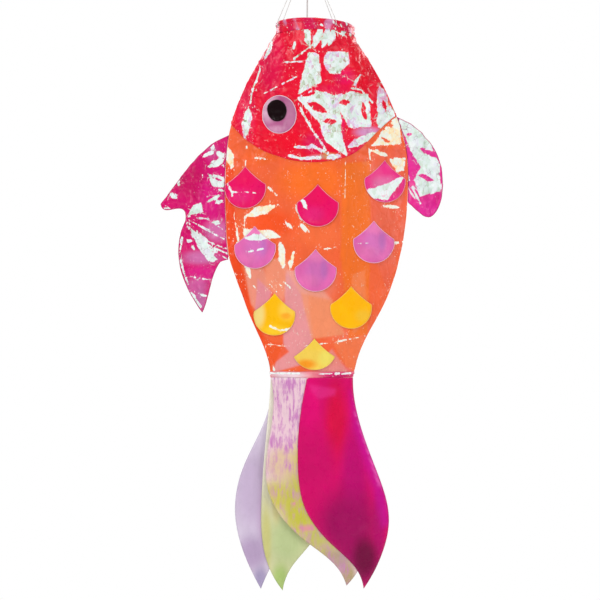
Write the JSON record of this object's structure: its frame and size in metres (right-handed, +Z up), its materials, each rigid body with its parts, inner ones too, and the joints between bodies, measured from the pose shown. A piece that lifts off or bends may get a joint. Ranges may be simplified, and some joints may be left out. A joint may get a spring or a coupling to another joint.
{
  "type": "carp streamer",
  "caption": "Fish-shaped film windsock hung by a wire-hooped mouth from a swivel and bridle, with scales, two fins and four long tail films.",
  "frame": {"origin": "centre of the hanging eye's round hole, the point the streamer hangs from", "axes": "+Z up, along the hanging streamer from tail to mouth; +X from the dorsal seam to the belly seam; +Y along the eye's hole, through the fish from its front face to its back face"},
  "size_m": [0.3963, 0.1112, 0.9282],
  "materials": {
    "swivel_brass": "polished",
    "hoop_steel": "drawn wire",
    "cord": "twisted nylon",
    "head_film": "glossy crinkled iridescent film",
    "body_film": "glossy crinkled iridescent film",
    "eye_film": "glossy crinkled iridescent film",
    "pupil_film": "satin black film",
    "pink_scale_film": "glossy crinkled iridescent film",
    "violet_scale_film": "glossy crinkled iridescent film",
    "gold_scale_film": "glossy crinkled iridescent film",
    "fin_film": "glossy crinkled iridescent film",
    "magenta_film": "glossy crinkled iridescent film",
    "two_tone_film": "glossy crinkled iridescent film",
    "green_film": "glossy crinkled iridescent film",
    "lavender_film": "glossy crinkled iridescent film"
  },
  "bodies": {
    "swivel": {"hanging_eye": "swivel_brass", "swivel_barrel": "swivel_brass"},
    "lower_eye": {"line_eye": "swivel_brass"},
    "streamer": {"bridle_knot": "cord", "left_line": "cord", "right_line": "cord", "back_line": "cord", "hoop_wire": "hoop_steel", "hoop_ferrule": "hoop_steel", "mouth_hem": "head_film", "head_front": "head_film", "head_back": "head_film", "body_front": "body_film", "body_back": "body_film", "eye_front": "eye_film", "eye_back": "eye_film", "pupil_front": "pupil_film", "pupil_back": "pupil_film", "scale_front_1": "pink_scale_film", "scale_front_2": "pink_scale_film", "scale_front_3": "pink_scale_film", "scale_front_4": "violet_scale_film", "scale_front_5": "violet_scale_film", "scale_front_6": "violet_scale_film", "scale_front_7": "gold_scale_film", "scale_front_8": "gold_scale_film", "scale_front_9": "gold_scale_film", "scale_back_1": "pink_scale_film", "scale_back_2": "pink_scale_film", "scale_back_3": "pink_scale_film", "scale_back_4": "violet_scale_film", "scale_back_5": "violet_scale_film", "scale_back_6": "violet_scale_film", "scale_back_7": "gold_scale_film", "scale_back_8": "gold_scale_film", "scale_back_9": "gold_scale_film", "tail_hem_front": "body_film", "tail_hem_back": "body_film"},
    "dorsal": {"dorsal_fin": "fin_film"},
    "belly": {"belly_fin": "fin_film"},
    "tail_front_outer": {"tail_magenta": "magenta_film"},
    "tail_front_inner": {"tail_yellow": "two_tone_film"},
    "tail_back_inner": {"tail_green": "green_film"},
    "tail_back_outer": {"tail_lavender": "lavender_film"}
  },
  "joints": [
    {"name": "swivel_spin", "type": "hinge", "parent": "swivel", "child": "lower_eye", "pos_m": [0, 0, -0.0135], "axis": [0, 0, 1], "continuous": true},
    {"name": "bridle_swing", "type": "hinge", "parent": "lower_eye", "child": "streamer", "pos_m": [0, 0, -0.021], "axis": [0, 1, 0], "range_deg": [-25, 85]},
    {"name": "dorsal_flap", "type": "hinge", "parent": "streamer", "child": "dorsal", "pos_m": [-0.1155, 0, -0.365], "axis": [0, 0, 1], "range_deg": [-40, 40], "stiffness_Nm_per_rad": 0.002},
    {"name": "belly_flap", "type": "hinge", "parent": "streamer", "child": "belly", "pos_m": [0.1372, 0, -0.294], "axis": [0.0987, 0, -0.9951], "range_deg": [-40, 40], "stiffness_Nm_per_rad": 0.001},
    {"name": "tail_front_lift", "type": "hinge", "parent": "streamer", "child": "tail_front_outer", "pos_m": [0.0314, -0.00595, -0.6213], "axis": [-1, 0, 0], "range_deg": [0, 60]},
    {"name": "tail_front_follow", "type": "hinge", "parent": "streamer", "child": "tail_front_inner", "pos_m": [-0.011, -0.00485, -0.6213], "axis": [-1, 0, 0], "range_deg": [0, 36]},
    {"name": "tail_back_lift", "type": "hinge", "parent": "streamer", "child": "tail_back_outer", "pos_m": [-0.019, 0.00595, -0.6213], "axis": [1, 0, 0], "range_deg": [0, 60]},
    {"name": "tail_back_follow", "type": "hinge", "parent": "streamer", "child": "tail_back_inner", "pos_m": [-0.0208, 0.00485, -0.6213], "axis": [1, 0, 0], "range_deg": [0, 36]}
  ],
  "couplings": [
    {"joint": "tail_front_follow", "follows": "tail_front_lift", "ratio": 0.6},
    {"joint": "tail_back_follow", "follows": "tail_back_lift", "ratio": 0.6}
  ]
}
